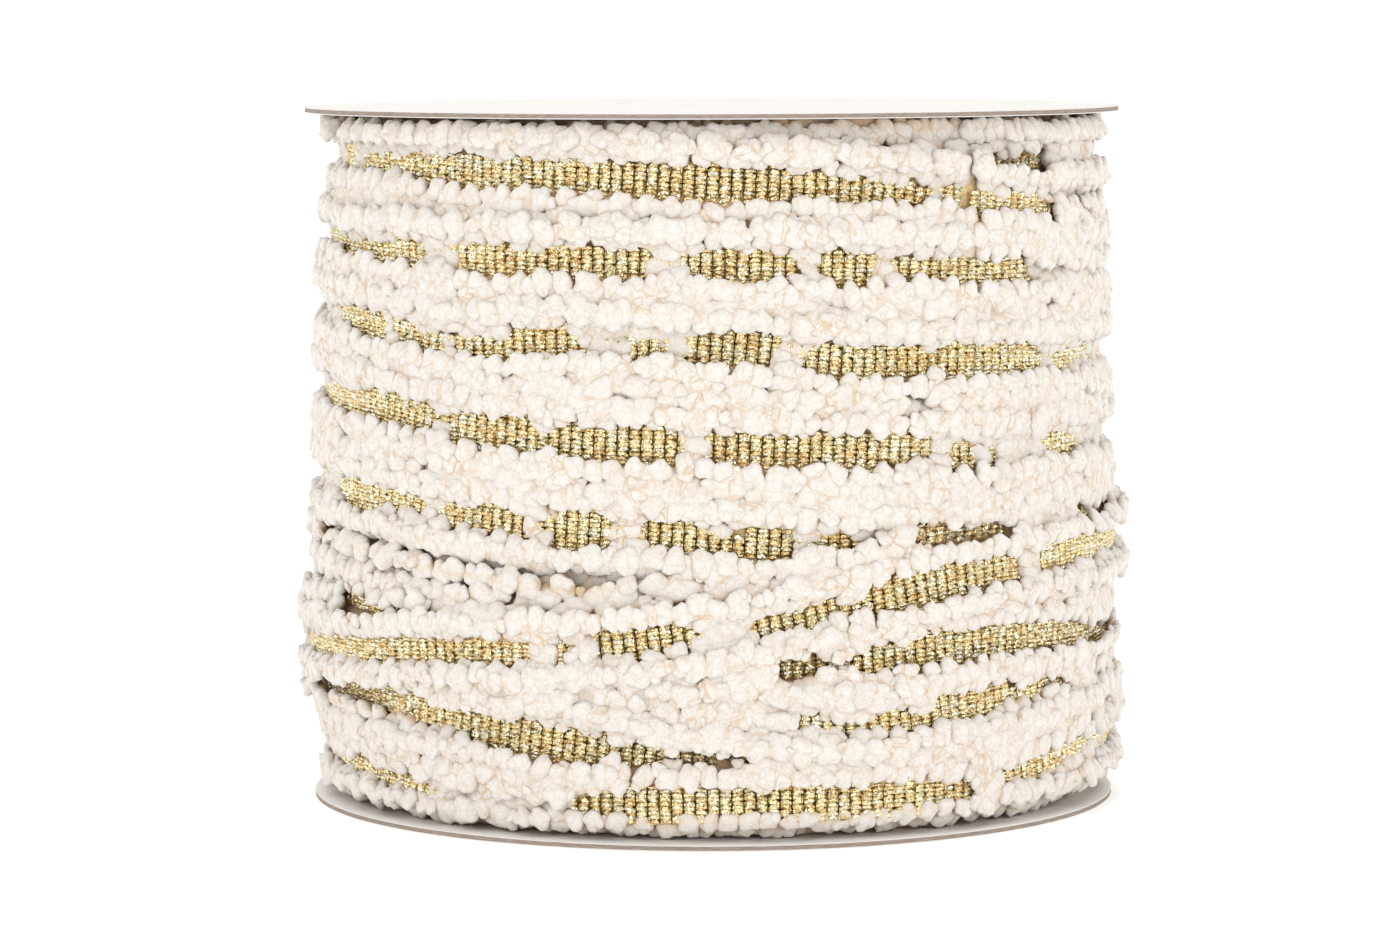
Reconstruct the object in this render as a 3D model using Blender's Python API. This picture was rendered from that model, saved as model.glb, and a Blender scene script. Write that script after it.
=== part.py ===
"""Fluffy ribbon trim, wound on a card reel of two thin discs.

Metres, +Z up. The reel stands on its lower disc. The origin is the centre of that disc's underside.
Azimuth 0 is the front of the reel (-Y), and it grows towards +X.
"""

import math

import bpy

MM = 0.001

# Card reel
UPPER_DISC_DIAMETER = 100.0 * MM
LOWER_DISC_DIAMETER = 98.8 * MM
DISC_THICKNESS = 0.7 * MM
REEL_HEIGHT = 84.8 * MM
DISC_SIDES = 96
RIM_ANGLE = 40.0
SEAT_GAP = 0.3 * MM

# Trim: a woven middle between two fluffy edges
TRIM_WIDTH = 10.2 * MM
PILE_HEIGHT = 2.5 * MM
WOVEN_SHARE = 0.35
RIDGE_AT = 0.58
RIDGE_SPREAD = 0.30
EDGE_ROUNDS_FROM = 0.70
EDGE_ENDS = 1.22

# Wound form
UNDER_LAYER_DROP = 1.0 * MM
CROSSING_LIFT = 2.0 * MM
CROSSING_REACH = 0.90
FRONT_END_RADIUS = 43.4 * MM
BACK_END_RADIUS = 47.6 * MM
BACK_STARTS = 75.0
BACK_FULL = 105.0
SHOULDER_RISE = 5.6 * MM
SHOULDER_LENGTH = 2.4 * MM
SHOULDER_SLOPE = 0.5
LUMP_DEPTH = 0.35 * MM
LUMP_WAVES = (
    {"round_reel": 23, "per_mm_up": 0.9},
    {"round_reel": 14, "per_mm_up": -1.7},
    {"round_reel": 31, "per_mm_up": 2.3},
)

# Mesh of the wound form
ROUND_STEPS = 60
HEIGHT_STEPS = 88
TRIM_FOLD_ANGLE = 60.0

# Radius of the woven middle at each height of the reel, both in mm
BARREL = (
    {"height": 0.0, "radius": 45.4},
    {"height": 8.0, "radius": 46.2},
    {"height": 20.0, "radius": 46.9},
    {"height": 35.0, "radius": 47.0},
    {"height": 50.0, "radius": 46.8},
    {"height": 65.0, "radius": 46.2},
    {"height": 75.0, "radius": 45.4},
    {"height": 84.8, "radius": 43.8},
)

# Height of the trim's middle in mm where each turn passes an azimuth, in the order of winding
TURN_AZIMUTHS = {"left": -60, "left_inner": -40, "left_front": -20, "front": 0, "right_front": 20,
                 "right_inner": 40, "right": 60, "back": 180}
TURNS = (
    {"right_inner": 78.9, "right": 79.4, "back": 79.6},
    {"left": 79.2, "left_inner": 78.6, "left_front": 78.2, "front": 77.3, "right_front": 76.5,
     "right_inner": 75.2, "right": 73.8, "back": 71.4},
    {"left": 68.9, "left_inner": 68.6, "left_front": 68.3, "front": 68.0, "right_front": 67.7,
     "right_inner": 66.9, "right": 66.8, "back": 63.6},
    {"left": 60.4, "left_inner": 58.5, "left_front": 59.0, "front": 58.4, "right_front": 56.8,
     "right_inner": 56.3, "right": 55.5, "back": 53.2},
    {"left": 50.7, "left_inner": 48.9, "left_front": 47.5, "front": 47.0, "right_front": 46.2,
     "right_inner": 45.3, "right": 45.6, "back": 42.6},
    {"left": 39.4, "left_inner": 38.0, "left_front": 37.1, "front": 36.2, "right_front": 35.5,
     "right_inner": 36.0, "right": 35.5, "back": 31.0},
    {"left": 26.3, "left_inner": 25.0, "left_front": 23.3, "front": 21.5, "right_front": 21.7,
     "right_inner": 22.6, "right": 22.1, "back": 18.2},
    {"left": 14.3, "left_inner": 13.7, "left_front": 12.0, "front": 10.6, "right_front": 9.9,
     "right_inner": 9.8, "right": 10.4, "back": 8.4},
    {"left": 6.1, "left_inner": 4.6, "left_front": 4.8, "front": 5.3, "right_front": 5.4,
     "right_inner": 5.4, "right": 7.2, "back": 13.0},
    {"left": 20.3, "left_inner": 20.2, "left_front": 19.4, "front": 15.9, "right_front": 14.4,
     "right_inner": 15.8, "right": 16.6, "back": 18.6},
    {"left": 20.8, "left_inner": 22.2, "left_front": 23.1, "front": 25.2, "right_front": 28.3,
     "right_inner": 31.0, "right": 31.9, "back": 33.6},
)

CARD_COLOUR = (0.72, 0.67, 0.64)
CARD_ROUGHNESS = 0.85
FLUFF_COLOUR = (0.86, 0.79, 0.69)
FLUFF_ROUGHNESS = 0.95


def clear_scene():
    for item in list(bpy.data.objects):
        bpy.data.objects.remove(item)


def finish_of(name, colour, roughness):
    """A plain Principled finish."""
    material = bpy.data.materials.new(name)
    material.use_nodes = True
    shader = material.node_tree.nodes["Principled BSDF"]
    shader.inputs["Base Color"].default_value = (*colour, 1.0)
    shader.inputs["Roughness"].default_value = roughness
    shader.inputs["Metallic"].default_value = 0.0
    return material


def smooth_step(value, low, high):
    share = min(1.0, max(0.0, (value - low) / (high - low)))
    return share * share * (3.0 - 2.0 * share)


def smooth_curve(knots, at):
    """Value at a place on a smooth curve through knots, which are (place, value) pairs in order."""
    if at <= knots[0][0]:
        return knots[0][1]
    if at >= knots[-1][0]:
        return knots[-1][1]
    last = len(knots) - 1
    span = next(i for i in range(last) if knots[i + 1][0] >= at)

    def slope(i):
        before, after = max(i - 1, 0), min(i + 1, last)
        return (knots[after][1] - knots[before][1]) / (knots[after][0] - knots[before][0])

    (start, low), (end, high) = knots[span], knots[span + 1]
    length = end - start
    t = (at - start) / length
    return ((1 + 2 * t) * (1 - t) ** 2 * low + t * t * (3 - 2 * t) * high
            + t * (1 - t) ** 2 * length * slope(span) - t * t * (1 - t) * length * slope(span + 1))


def trim_path():
    """The winding as (turned angle, height in mm) knots: 360 degrees a turn, azimuth counted on."""
    knots = []
    for turn, heights in enumerate(TURNS):
        knots += [(360 * turn + azimuth, heights[place])
                  for place, azimuth in TURN_AZIMUTHS.items() if place in heights]
    return knots


BARREL_CURVE = [(row["height"], row["radius"]) for row in BARREL]
TRIM_PATH = trim_path()


def barrel_radius(height):
    return smooth_curve(BARREL_CURVE, height / MM) * MM


def passes_at(azimuth):
    """(height, radius) of the trim's middle for each turn that passes an azimuth, first wound first.

    A turn that lies on an earlier one is lifted by up to the trim's thickness."""
    passes = []
    for turn in range(len(TURNS)):
        turned = 360 * turn + azimuth
        if not TRIM_PATH[0][0] <= turned <= TRIM_PATH[-1][0]:
            continue
        height = smooth_curve(TRIM_PATH, turned) * MM
        reach = CROSSING_REACH * TRIM_WIDTH
        covered = max((1.0 - abs(height - lower) / reach for lower, _ in passes), default=0.0)
        passes.append((height, barrel_radius(height) + CROSSING_LIFT * smooth_step(covered, 0.0, 1.0)))
    return passes


def pile(across):
    """Height of the trim over its back: low at the woven middle, full on each fluffy edge."""
    ridge = math.exp(-(((abs(across) - RIDGE_AT) / RIDGE_SPREAD) ** 2))
    return PILE_HEIGHT * (WOVEN_SHARE + (1.0 - WOVEN_SHARE) * ridge)


def lumps(azimuth, height):
    """Unevenness of the fluffy edges."""
    turned = math.radians(azimuth)
    waves = [math.sin(wave["round_reel"] * turned + wave["per_mm_up"] * height / MM) for wave in LUMP_WAVES]
    return LUMP_DEPTH * sum(waves) / len(waves)


def shoulder_limit(azimuth, height):
    """Largest radius near the discs, where the edge turns draw in, less so at the back."""
    to_disc = min(height, REEL_HEIGHT - height) - DISC_THICKNESS
    back = smooth_step(abs(azimuth), BACK_STARTS, BACK_FULL)
    end_radius = FRONT_END_RADIUS + (BACK_END_RADIUS - FRONT_END_RADIUS) * back
    rise = SHOULDER_RISE * (1.0 - math.exp(-to_disc / SHOULDER_LENGTH))
    return end_radius + rise + SHOULDER_SLOPE * to_disc


def skin_radius(azimuth, height, passes):
    """Outer radius of the wound form: the outermost turn there, or the layer under it."""
    under = barrel_radius(height) - UNDER_LAYER_DROP
    radius = under
    for middle, lay_radius in passes:
        across = 2.0 * (height - middle) / TRIM_WIDTH
        rounding = 1.0 - smooth_step(abs(across), EDGE_ROUNDS_FROM, EDGE_ENDS)
        radius = max(radius, under + (lay_radius + pile(across) - under) * rounding)
    return min(radius, shoulder_limit(azimuth, height)) + lumps(azimuth, height)


def make_disc(name, diameter, underside, material):
    """One card disc, with its underside at a height."""
    bpy.ops.mesh.primitive_cylinder_add(vertices=DISC_SIDES, radius=diameter / 2, depth=DISC_THICKNESS,
                                        end_fill_type="TRIFAN",
                                        location=(0.0, 0.0, underside + DISC_THICKNESS / 2))
    disc = bpy.context.active_object
    disc.name = name
    disc.data.name = name
    disc.data.materials.append(material)
    disc.data.shade_smooth()
    disc.data.set_sharp_from_angle(angle=math.radians(RIM_ANGLE))


def skin_points(low, high):
    """Points of the wound form's side, column by column round the reel, and the radius of each."""
    points, radii = [], []
    for step in range(ROUND_STEPS):
        azimuth = -180.0 + 360.0 * step / ROUND_STEPS
        passes = passes_at(azimuth)
        turned = math.radians(azimuth)
        for row in range(HEIGHT_STEPS + 1):
            height = low + (high - low) * row / HEIGHT_STEPS
            radius = skin_radius(azimuth, height, passes)
            points.append((radius * math.sin(turned), -radius * math.cos(turned), height))
            radii.append(radius)
    return points, radii


def split_along_turn(corners, radii):
    """A four-cornered face as two triangles, split between the corners most alike in radius."""
    a, b, c, d = corners
    if abs(radii[a] - radii[c]) <= abs(radii[b] - radii[d]):
        return [(a, b, c), (a, c, d)]
    return [(a, b, d), (b, c, d)]


def make_wound_trim(material):
    """The wound trim as one closed solid with flat ends against the discs."""
    low = DISC_THICKNESS + SEAT_GAP
    high = REEL_HEIGHT - DISC_THICKNESS - SEAT_GAP
    points, radii = skin_points(low, high)
    low_centre, high_centre = len(points), len(points) + 1
    points += [(0.0, 0.0, low), (0.0, 0.0, high)]
    rows = HEIGHT_STEPS + 1
    faces = []
    for step in range(ROUND_STEPS):
        here, there = step * rows, (step + 1) % ROUND_STEPS * rows
        for row in range(HEIGHT_STEPS):
            corners = (here + row, there + row, there + row + 1, here + row + 1)
            faces += split_along_turn(corners, radii)
        faces.append((here, low_centre, there))
        faces.append((here + HEIGHT_STEPS, there + HEIGHT_STEPS, high_centre))
    mesh = bpy.data.meshes.new("wound_trim")
    mesh.from_pydata(points, [], faces)
    mesh.shade_smooth()
    mesh.set_sharp_from_angle(angle=math.radians(TRIM_FOLD_ANGLE))
    mesh.materials.append(material)
    bpy.context.collection.objects.link(bpy.data.objects.new("wound_trim", mesh))


def main():
    clear_scene()
    card = finish_of("card", CARD_COLOUR, CARD_ROUGHNESS)
    fluff = finish_of("fluffy_trim", FLUFF_COLOUR, FLUFF_ROUGHNESS)
    make_disc("lower_disc", LOWER_DISC_DIAMETER, 0.0, card)
    make_disc("upper_disc", UPPER_DISC_DIAMETER, REEL_HEIGHT - DISC_THICKNESS, card)
    make_wound_trim(fluff)


main()
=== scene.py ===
import math
import random

import bpy
import numpy as np
from mathutils import Matrix, Vector
from mathutils.kdtree import KDTree


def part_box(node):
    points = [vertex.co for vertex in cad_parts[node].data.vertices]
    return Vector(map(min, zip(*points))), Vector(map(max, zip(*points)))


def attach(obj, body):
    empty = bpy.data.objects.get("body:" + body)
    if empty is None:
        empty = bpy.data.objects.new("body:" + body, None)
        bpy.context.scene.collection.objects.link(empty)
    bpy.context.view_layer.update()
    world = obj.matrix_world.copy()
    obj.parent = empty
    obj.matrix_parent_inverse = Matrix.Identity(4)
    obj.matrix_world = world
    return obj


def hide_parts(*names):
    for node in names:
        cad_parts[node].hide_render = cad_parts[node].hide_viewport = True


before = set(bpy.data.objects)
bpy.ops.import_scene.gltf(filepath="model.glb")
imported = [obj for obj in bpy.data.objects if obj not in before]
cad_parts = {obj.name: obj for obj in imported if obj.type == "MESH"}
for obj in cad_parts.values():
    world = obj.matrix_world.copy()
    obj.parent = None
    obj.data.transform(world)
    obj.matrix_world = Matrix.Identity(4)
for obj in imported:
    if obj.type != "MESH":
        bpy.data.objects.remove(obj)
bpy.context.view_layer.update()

mm = 0.001
rng = random.Random(41)

# How the trim is wound. Sizes are in mm, and azimuth 0 is the front of the reel, growing to its right.
winding = {
    "trimWidth": 10.2,
    "pileHeight": 2.5,
    "wovenShare": 0.35,  # height of the woven middle, as a share of the pile
    "ridgeAt": 0.58,  # places across are shares of half the trim's width
    "ridgeSpread": 0.30,
    "edgeRoundsFrom": 0.70,
    "edgeEnds": 1.22,
    "underLayerDrop": 0.3,
    "coreDrop": 1.3,
    "crossingLift": 2.0,
    "crossingReach": 0.90,
    "startTuck": 2.4,  # how deep the trim's start is tucked in, and over how many degrees
    "tuckLength": 16.0,
    "goldScale": 0.9935,  # fits the heights below, read in front, to the reel's own height
    "goldDrop": 0.38,  # mm by which the gold above goldDrops lies lower
    "goldDrops": (40.0, 48.0),
    "closedUnder": 0.25,  # mm of gold under which an opening counts as closed
    "frontEndRadius": 43.4,
    "backEndRadius": 47.6,
    "backStarts": 75.0,
    "backFull": 105.0,
    "shoulderRise": 5.6,
    "shoulderLength": 2.4,
    "shoulderSlope": 0.5,
    "barrel": ((0.0, 45.4), (8.0, 46.2), (20.0, 46.9), (35.0, 47.0), (50.0, 46.8), (65.0, 46.2), (75.0, 45.4),
               (84.8, 43.8)),  # height and radius
    "azimuths": (-60, -40, -20, 0, 20, 40, 60, 180),
    "heights": (  # of the trim's middle at those azimuths, a row for each turn
        (None, None, None, None, None, 78.9, 79.4, 79.6),
        (79.2, 78.6, 78.2, 77.3, 76.5, 75.2, 73.8, 71.4),
        (68.9, 68.6, 68.3, 68.0, 67.7, 66.9, 66.8, 63.6),
        (60.4, 58.5, 59.0, 58.4, 56.8, 56.3, 55.5, 53.2),
        (50.7, 48.9, 47.5, 47.0, 46.2, 45.3, 45.6, 42.6),
        (39.4, 38.0, 37.1, 36.2, 35.5, 36.0, 35.5, 31.0),
        (26.3, 25.0, 23.3, 21.5, 21.7, 22.6, 22.1, 18.2),
        (14.3, 13.7, 12.0, 10.6, 9.9, 9.8, 10.4, 8.4),
        (6.1, 4.6, 4.8, 5.3, 5.4, 5.4, 7.2, 13.0),
        (20.3, 20.2, 19.4, 15.9, 14.4, 15.8, 16.6, 18.6),
        (20.8, 22.2, 23.1, 25.2, 28.3, 31.0, 31.9, 33.6),
    ),
}

# Where the gold shows between the fluffy edges, for each turn: azimuth, lower and upper height in mm.
# A single height closes the opening there.
goldShows = {
    0: ((20, 79.0), (40, 79.1), (45, 78.6, 80.1), (56, 78.6, 80.3), (60, 79.4), (80, 79.5)),
    1: ((-68, 79.0), (-64, 78.4, 79.9), (-60, 78.3, 80.0), (-56, 78.6, 80.0), (-54, 79.2, 79.4),
        (-51, 78.3, 80.1), (-43, 77.6, 80.1), (-40, 76.9, 80.1), (-30, 76.9, 79.6), (-20, 76.8, 79.6),
        (-10, 76.0, 79.3), (0, 75.2, 79.1), (10, 75.6, 78.5), (12, 76.6, 77.6), (13, 75.7, 78.3),
        (20, 75.5, 77.7), (29, 75.2, 76.6), (34, 75.6, 75.8), (37, 74.6, 76.6), (41, 74.1, 75.4),
        (46, 74.0, 74.6), (50, 73.4, 75.4), (56, 72.8, 74.4), (60, 73.6), (80, 73.0)),
    2: ((-70, 68.6, 69.2), (-60, 68.4, 69.3), (-50, 67.8, 70.1), (-47, 68.0, 69.8), (-45.5, 69.0),
        (-41, 69.0), (-39.5, 67.0, 69.9), (-28, 66.9, 69.3), (-25, 67.9, 69.0), (-23, 67.2, 69.7),
        (-18, 66.8, 69.7), (-10, 66.8, 69.5), (-8.5, 68.6), (-5, 68.6), (-3.5, 67.8, 69.0),
        (0, 66.5, 69.4), (11, 66.4, 69.2), (12.5, 68.2), (14, 68.0), (15, 66.2, 69.2), (22.5, 66.0, 68.9),
        (24.5, 67.4), (26, 67.4), (27.5, 66.6, 68.3), (35, 66.0, 67.9), (42, 65.5, 68.2), (50, 65.9, 67.8),
        (53, 65.6, 65.8), (60, 65.5), (80, 65.5)),
    3: ((-80, 61.4), (-71, 61.4), (-70, 61.0, 61.4), (-64, 59.6, 62.0), (-60, 58.8, 61.8),
        (-55, 58.9, 61.0), (-53.8, 60.0), (-52.6, 60.0), (-51, 59.0, 61.0), (-48, 58.8, 60.9),
        (-46, 58.2, 59.0), (-42.5, 57.9, 58.6), (-40.5, 58.4), (-38, 57.7, 59.0), (-30.5, 57.6, 58.9),
        (-29.5, 57.6, 60.2), (-20, 58.1, 60.2), (-18.5, 57.9, 58.8), (-16, 58.6), (-13, 58.6),
        (-11.5, 57.2, 59.3), (-8, 57.7, 58.9), (-5, 58.3, 58.5), (-3.5, 56.8, 59.5), (0, 57.1, 60.0),
        (8, 56.2, 60.0), (10, 58.6), (12, 57.4), (13, 55.8, 58.6), (20, 55.1, 58.2), (30, 55.0, 58.0),
        (32, 56.0, 56.8), (34, 55.0, 58.0), (42, 54.6, 57.9), (50, 54.7, 57.7), (54, 55.2, 57.4),
        (56, 55.2, 55.4), (60, 54.8, 56.0), (70, 55.8, 56.4), (74, 56.2), (82, 56.2)),
    4: ((-80, 50.6, 51.2), (-70, 49.9, 51.6), (-60, 49.6, 51.8), (-50, 48.8, 52.0), (-44, 48.6, 50.8),
        (-41.2, 49.4, 49.6), (-39.5, 47.2, 50.2), (-32, 47.0, 50.0), (-25.5, 46.6, 49.9),
        (-24.5, 47.4, 47.8), (-22, 46.4, 49.2), (-15, 45.9, 48.8), (-5, 45.5, 48.9), (-3.8, 47.0),
        (-2.2, 47.0), (-1, 45.9, 48.0), (8, 44.8, 48.0), (15, 45.0, 48.2), (21, 44.5, 47.9),
        (26, 45.4, 47.8), (31, 45.5, 47.3), (34, 46.0, 46.2), (36, 44.4, 46.4), (39, 43.8, 46.2),
        (41, 45.0, 45.2), (43, 44.2, 46.2), (45, 44.6), (54, 45.5), (56, 45.0, 46.7), (62, 44.6, 46.4),
        (66, 44.8, 45.0), (82, 45.0)),
    5: ((-80, 39.8), (-72, 39.8), (-66, 38.0, 41.0), (-60, 37.5, 41.0), (-56, 37.6, 40.4),
        (-54.5, 39.0, 39.2), (-52, 38.8, 40.3), (-46, 38.6, 40.2), (-44.5, 39.0), (-41.5, 38.0),
        (-40, 37.0, 38.9), (-36, 37.4, 38.4), (-34, 36.8, 39.8), (-29, 36.4, 39.0), (-26.5, 36.8, 37.0),
        (-24.2, 37.0), (-23.5, 35.0, 39.0), (-14.5, 35.2, 38.9), (-13, 36.6), (-11, 36.6),
        (-10, 35.4, 38.6), (-2, 35.2, 37.6), (0.5, 35.4, 35.8), (3, 34.0, 35.4), (5, 33.6, 37.2),
        (10.5, 33.6, 37.0), (11.5, 35.4), (14, 35.0, 35.4), (20, 35.0, 36.5), (21.5, 35.6), (27, 35.6),
        (28, 35.0, 36.4), (33, 35.4, 36.6), (36, 35.6, 36.6), (43, 35.6, 36.9), (46, 36.0), (62, 35.6)),
    6: ((-82, 26.3), (-67, 26.3), (-66, 25.6, 27.2), (-58, 25.4, 27.0), (-52, 25.2, 26.6), (-49, 25.4),
        (7, 21.6), (9, 20.8, 21.7), (15, 20.6, 22.2), (17.5, 21.4), (20, 20.6, 22.9), (25, 21.0, 22.4),
        (28, 21.0, 23.6), (33, 21.1, 24.3), (45, 21.4, 24.4), (55, 21.4, 24.0), (62, 21.0, 23.4),
        (72, 20.6, 22.4), (78, 21.4, 21.6)),
    7: ((-76, 14.6, 15.6), (-60, 14.3, 16.0), (-50, 14.1, 16.4), (-40, 12.7, 15.6), (-30, 11.0, 14.4),
        (-24, 10.4, 13.8), (-15, 10.2, 12.8), (-13.5, 11.2, 11.4), (-12, 10.0, 12.5), (-9, 10.1, 12.3),
        (-6, 10.6, 10.9), (0, 10.5, 10.8), (5, 10.7, 11.2), (7, 10.4), (62, 10.2)),
    8: ((-78, 6.2, 6.8), (-66, 5.8, 6.6), (-58, 5.4, 6.4), (-48, 4.4, 5.0), (-45, 4.6), (-22, 4.8),
        (-20, 4.0, 5.6), (-10, 3.6, 6.6), (0, 3.7, 7.0), (5, 3.9, 6.8), (6.5, 4.6, 5.8), (8, 3.7, 7.0),
        (20, 3.8, 6.9), (29, 4.0, 6.6), (38, 4.6, 5.9), (40, 5.0), (44.5, 6.0), (46, 5.5, 7.3),
        (55, 6.4, 8.6), (62, 7.4, 9.3), (72, 8.5, 9.8)),
    9: ((-75, 19.6), (8, 15.0), (12, 14.7, 15.0), (18, 14.0, 14.4), (22, 13.8, 14.8), (31, 14.0, 15.0),
        (32.5, 14.3, 16.8), (40, 14.4, 17.3), (45, 15.1, 17.4), (47.5, 16.0, 16.4), (51, 15.5, 17.2),
        (57, 16.4, 17.0), (62, 16.2, 16.4), (64, 16.4), (82, 17.0)),
    10: ((-90, 17.6, 20.6), (-80, 18.8, 21.1), (-70, 19.6, 21.0), (-60, 20.3, 21.8), (-50, 20.1, 22.7),
         (-47, 21.2, 23.2), (-40, 21.1, 23.2), (-30, 21.8, 23.8), (-25.5, 22.0, 23.6), (-24, 22.6),
         (-22.5, 22.8), (-21.5, 21.8, 24.4), (-20, 22.2, 24.2), (-18.5, 23.6), (-17, 23.8),
         (-16, 22.6, 25.4), (-8, 23.4, 26.0), (-3, 24.6, 26.3), (-2, 25.2), (4, 26.0), (7, 25.4, 26.6),
         (12, 26.2, 27.8), (16, 26.8, 29.0), (18.5, 27.6, 27.8), (21, 27.4, 29.6), (30, 28.2, 31.8),
         (36, 29.0, 32.2), (44, 29.8, 32.8), (47.5, 30.6, 31.8), (48.5, 31.2), (51, 31.4),
         (52, 30.6, 33.5), (60, 31.2, 34.0), (72, 31.6, 34.4), (86, 31.2, 34.4)),
}


def smoothStep(value, low, high):
    share = np.clip((value - low) / (high - low), 0.0, 1.0)
    return share * share * (3.0 - 2.0 * share)


def smoothCurve(knots, at):  # through (place, value) pairs in order
    if at <= knots[0][0]:
        return knots[0][1]
    if at >= knots[-1][0]:
        return knots[-1][1]
    last = len(knots) - 1
    span = next(i for i in range(last) if knots[i + 1][0] >= at)

    def slope(i):
        before, after = max(i - 1, 0), min(i + 1, last)
        return (knots[after][1] - knots[before][1]) / (knots[after][0] - knots[before][0])

    (start, low), (end, high) = knots[span], knots[span + 1]
    length = end - start
    t = (at - start) / length
    return ((1 + 2 * t) * (1 - t) ** 2 * low + t * t * (3 - 2 * t) * high
            + t * (1 - t) ** 2 * length * slope(span) - t * t * (1 - t) * length * slope(span + 1))


def barrelRadius(height):
    return smoothCurve(winding["barrel"], height)


def windPath():  # turned angle in degrees, and the middle's height and radius there, one row a degree
    knots = [(360 * turn + azimuth, height) for turn, row in enumerate(winding["heights"])
             for azimuth, height in zip(winding["azimuths"], row) if height is not None]
    turned = np.arange(knots[0][0], knots[-1][0] + 1)
    heights = [smoothCurve(knots, t) for t in turned]
    radii = []
    reach = winding["crossingReach"] * winding["trimWidth"]
    for i, height in enumerate(heights):  # a turn that lies on an earlier one is lifted
        tuck = winding["startTuck"] * (1.0 - smoothStep(i, 0.0, winding["tuckLength"]))
        covered = max((1.0 - abs(height - heights[j]) / reach for j in range(i - 360, -1, -360)), default=0.0)
        radii.append(barrelRadius(height) + winding["crossingLift"] * smoothStep(covered, 0.0, 1.0) - tuck)
    return turned, np.array(heights), np.array(radii)


pathTurned, pathHeights, pathRadii = windPath()
halfWidth = winding["trimWidth"] / 2
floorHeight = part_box("lower_disc")[1].z / mm  # the faces between which the trim is wound
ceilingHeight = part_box("upper_disc")[0].z / mm


def heightAt(turned):
    return float(np.interp(turned, pathTurned, pathHeights))


def layRadiusAt(turned):
    return float(np.interp(turned, pathTurned, pathRadii))


def slopeAt(turned):  # how steeply the trim climbs, as an angle
    run = math.radians(2.0) * layRadiusAt(turned)
    return math.atan2(heightAt(turned + 1) - heightAt(turned - 1), run)


def shoulderLimit(azimuth, height):  # the edge turns draw in next to the discs, less so at the back
    toDisc = np.clip(np.minimum(height - floorHeight, ceilingHeight - height), 0.0, None)
    fromFront = np.abs((azimuth + 180.0) % 360.0 - 180.0)
    back = smoothStep(fromFront, winding["backStarts"], winding["backFull"])
    endRadius = winding["frontEndRadius"] + (winding["backEndRadius"] - winding["frontEndRadius"]) * back
    rise = winding["shoulderRise"] * (1.0 - np.exp(-toDisc / winding["shoulderLength"]))
    return endRadius + rise + winding["shoulderSlope"] * toDisc


def goldEdges(turned):  # how far the gold shows below and above the trim's middle, in mm
    turn = round(turned / 360)
    azimuth = turned - 360 * turn
    rows = goldShows.get(turn, ())
    if rows and rows[0][0] <= azimuth <= rows[-1][0]:
        places, lows, highs = zip(*((row[0], row[1], row[-1]) for row in rows))
        low, high = (winding["goldScale"] * np.interp(azimuth, places, edge) for edge in (lows, highs))
        middle = heightAt(turned)
        drop = winding["goldDrop"] * smoothStep(middle, *winding["goldDrops"])
        return middle - low + drop, high - drop - middle
    # Round the back, the half height of an opening follows three waves, and its middle a fourth
    wave = math.sin(turned * 0.171 + 1.3) + 0.8 * math.sin(turned * 0.437 + turn)
    wave += 0.5 * math.sin(turned * 1.13)
    shift = 0.5 * math.sin(turned * 0.083 + 2.0 * turn)
    shown = min(1.9, max(0.0, 1.15 + 0.75 * wave))
    return shown - shift, shown + shift


def placeOf(azimuth, radius, height):
    a = math.radians(azimuth)
    return Vector((radius * math.sin(a), -radius * math.cos(a), height))


# The outer surface of the winding as a map: rows go up by heightStep, columns round by azimuthStep
surfaceMap = {
    "azimuthStep": 0.5,
    "heightStep": 0.2,
    "ownReach": 4.7,  # a turn covers earlier ones this far from its middle
    "openReach": 3.6,  # the same where an earlier turn's gold shows
    "creaseReach": 7.3,  # where two turns are this close, their edges fill the crease between them
    "creaseDepths": (0.0, 1.6),
    "deepensFrom": 0.55,  # value of the wander from which a crease deepens
    "openMargin": 0.2,  # mm round a gold opening that stay as low as it is
    "farAway": 99.0,  # stands for no gold near
    "searched": 4.0,  # mm up and down in which gold is looked for
    "leanSpan": 0.4,  # mm up and down over which the surface's lean is measured
    "leanLimit": 0.7,
}


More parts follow.
